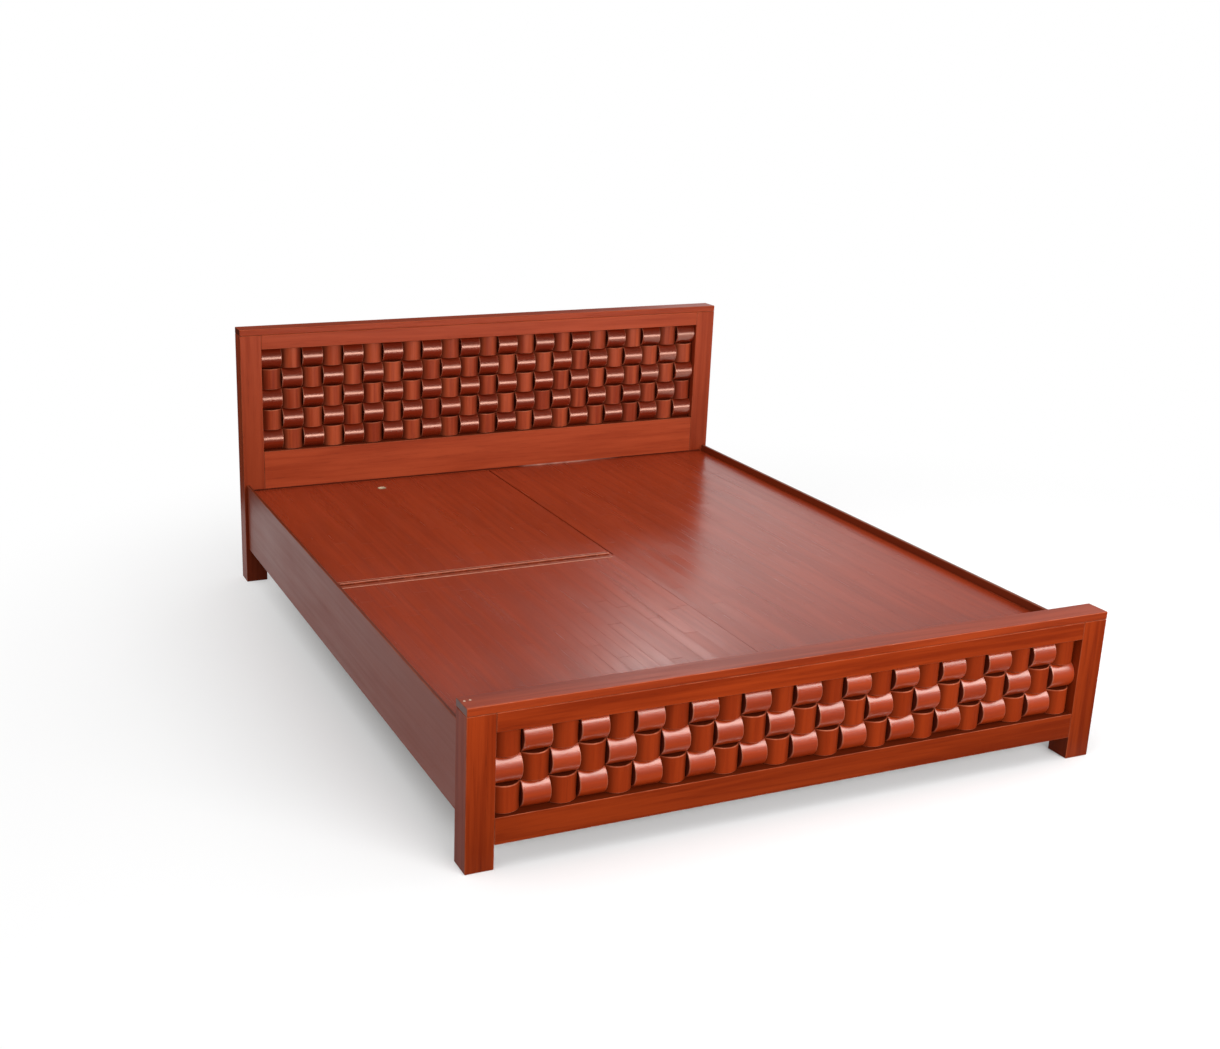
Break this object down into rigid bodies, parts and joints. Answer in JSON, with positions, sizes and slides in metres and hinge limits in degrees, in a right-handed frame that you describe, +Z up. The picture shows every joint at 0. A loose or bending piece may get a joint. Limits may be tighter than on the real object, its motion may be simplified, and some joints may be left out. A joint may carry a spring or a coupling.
{
  "type": "storage bed",
  "caption": "Box bed with basket-weave headboard and footboard panels, a lipped plywood deck and a hinged deck lid over an enclosed storage box.",
  "frame": {"origin": "on the floor, under the middle of the bed's outline", "axes": "+X to the right seen from the foot, +Y towards the headboard, +Z up"},
  "size_m": [1.901, 2.278, 0.9321],
  "materials": {
    "mahogany_frame": "red-brown mahogany stain under satin lacquer",
    "mahogany_weave": "red-brown mahogany stain under glossy lacquer",
    "mahogany_deck": "veneered plywood, mahogany stain under glossy lacquer",
    "plywood": "bare plywood",
    "batten": "bare sawn softwood",
    "lacquered_steel": "steel lacquered over with the deck",
    "zinc_steel": "zinc-plated steel"
  },
  "bodies": {
    "bed": {"headboard_left_post": "mahogany_frame", "headboard_right_post": "mahogany_frame", "headboard_cap": "mahogany_frame", "headboard_top_rail": "mahogany_frame", "headboard_bottom_rail": "mahogany_frame", "headboard_panel": "mahogany_frame", "headboard_weave_row_1": "mahogany_weave", "headboard_weave_row_2": "mahogany_weave", "headboard_weave_row_3": "mahogany_weave", "headboard_weave_row_4": "mahogany_weave", "headboard_weave_row_5": "mahogany_weave", "footboard_left_post": "mahogany_frame", "footboard_right_post": "mahogany_frame", "footboard_cap": "mahogany_frame", "footboard_top_rail": "mahogany_frame", "footboard_bottom_rail": "mahogany_frame", "footboard_panel": "mahogany_frame", "footboard_weave_row_1": "mahogany_weave", "footboard_weave_row_2": "mahogany_weave", "footboard_weave_row_3": "mahogany_weave", "headboard_box_board": "mahogany_frame", "left_side_rail": "mahogany_frame", "left_deck_cleat": "batten", "head_left_deck_cleat": "batten", "foot_left_deck_cleat": "batten", "left_cross_divider": "plywood", "left_storage_bottom": "plywood", "left_bottom_cleat": "batten", "head_left_bracket": "zinc_steel", "foot_left_bracket": "zinc_steel", "right_side_rail": "mahogany_frame", "right_deck_cleat": "batten", "head_right_deck_cleat": "batten", "foot_right_deck_cleat": "batten", "right_cross_divider": "plywood", "right_storage_bottom": "plywood", "right_bottom_cleat": "batten", "head_right_bracket": "zinc_steel", "foot_right_bracket": "zinc_steel", "deck_right": "mahogany_deck", "deck_left_foot": "mahogany_deck", "hinge_fixed_leaf": "lacquered_steel", "hinge_pin": "zinc_steel", "lengthwise_divider": "plywood", "bottom_bearer": "batten", "centre_leg": "mahogany_frame"},
    "lid": {"storage_lid": "mahogany_deck", "hinge_lid_leaf": "lacquered_steel"}
  },
  "joints": [
    {"name": "lid_hinge", "type": "hinge", "parent": "bed", "child": "lid", "pos_m": [-0.4651, 0, 0.3475], "axis": [1, 0, 0], "range_deg": [0, 180]}
  ]
}
